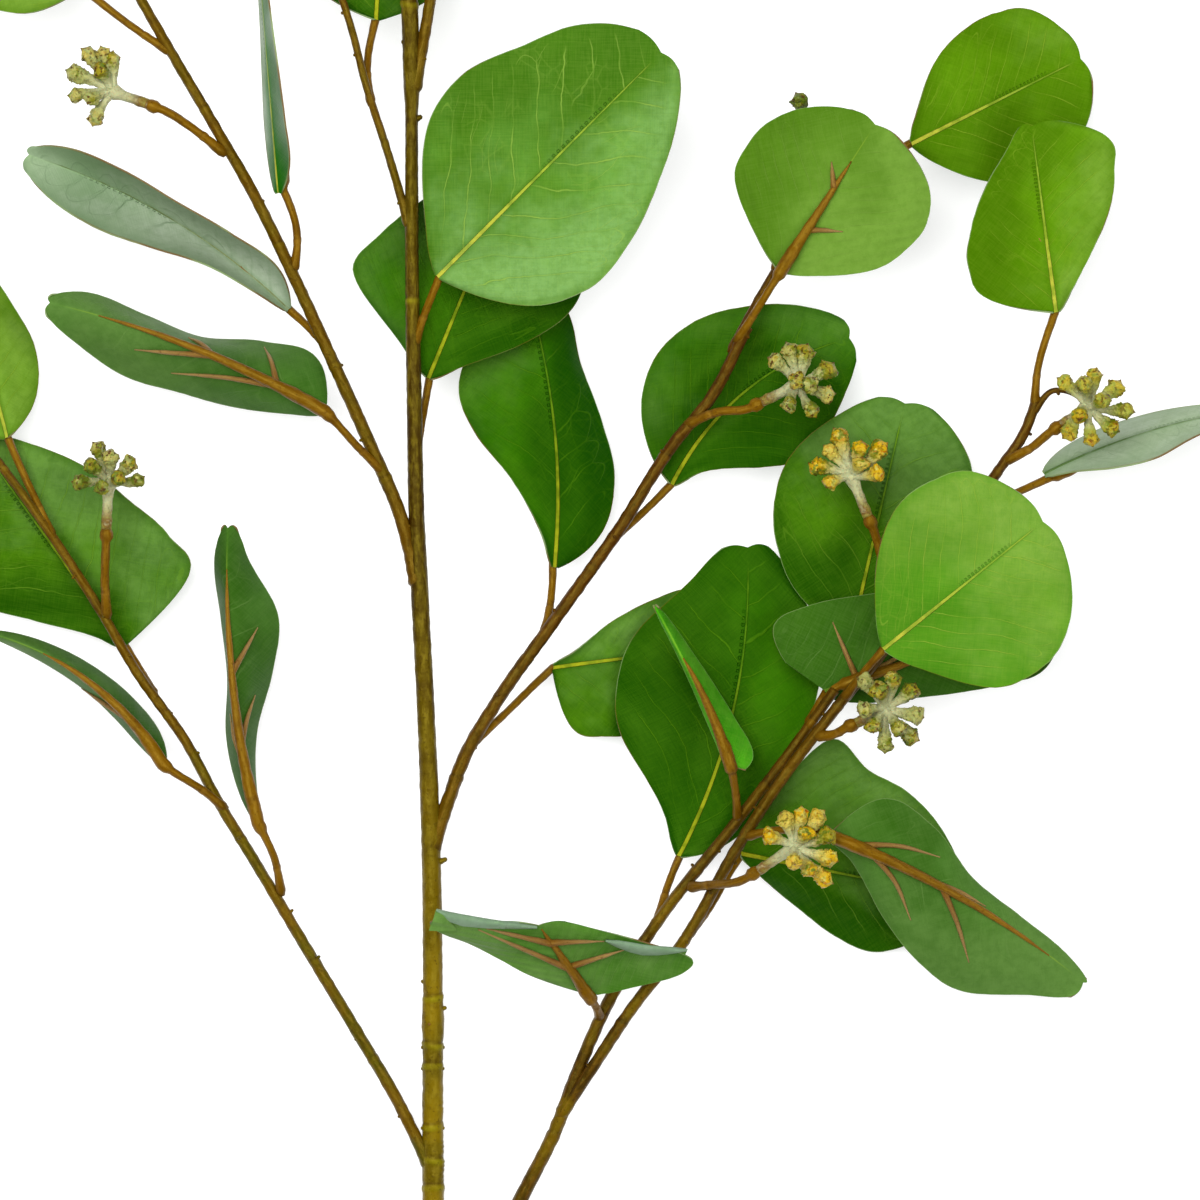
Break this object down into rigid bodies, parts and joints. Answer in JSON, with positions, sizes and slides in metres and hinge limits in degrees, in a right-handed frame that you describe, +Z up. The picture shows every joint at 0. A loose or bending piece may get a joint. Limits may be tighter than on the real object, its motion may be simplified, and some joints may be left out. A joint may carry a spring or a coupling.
{
  "type": "eucalyptus gum nut sprig",
  "caption": "Made eucalyptus spray lying flat: forked brown stem, round and oval green leaves on short stalks, and small clusters of pale speckled gum nuts.",
  "frame": {"origin": "on the surface that the spray lies on, under the middle of the heel of the main stem", "axes": "+Y along the main stem from its cut heel to its tip, +X to the right seen from above, +Z up from the surface"},
  "size_m": [0.4179, 0.5957, 0.059],
  "materials": {
    "stem": "olive brown moulded stem and leaf ribs, soft sheen",
    "leaf": "coated fabric leaf, printed yellow veins, satin",
    "leaf_turned": "coated fabric leaf with its paler back turned up, satin",
    "gum_nuts": "cream and green moulded nuts, speckled yellow and brown"
  },
  "bodies": {
    "root": {"stem": "stem", "leaf_01": "leaf", "leaf_02": "leaf", "leaf_03": "leaf", "leaf_04": "leaf_turned", "leaf_05": "leaf", "leaf_06": "leaf", "leaf_07": "leaf_turned", "leaf_08": "leaf_turned", "leaf_09": "leaf", "leaf_10": "leaf", "leaf_11": "leaf", "leaf_12": "leaf", "leaf_13": "leaf_turned", "leaf_14": "leaf", "leaf_15": "leaf", "leaf_16": "leaf", "leaf_17": "leaf", "leaf_18": "leaf", "leaf_19": "leaf", "leaf_20": "leaf_turned", "leaf_21": "leaf", "leaf_22": "leaf", "leaf_23": "leaf_turned", "leaf_24": "leaf", "leaf_25": "leaf_turned", "leaf_26": "leaf_turned", "leaf_27": "leaf", "leaf_28": "leaf", "leaf_29": "leaf", "leaf_30": "leaf", "leaf_31": "leaf", "leaf_32": "leaf", "leaf_33": "leaf", "nut_cluster_01": "gum_nuts", "nut_cluster_02": "gum_nuts", "nut_cluster_03": "gum_nuts", "nut_cluster_04": "gum_nuts", "nut_cluster_05": "gum_nuts", "nut_cluster_06": "gum_nuts", "nut_cluster_07": "gum_nuts", "nut_cluster_08": "gum_nuts", "single_bud": "gum_nuts"}
  },
  "joints": []
}
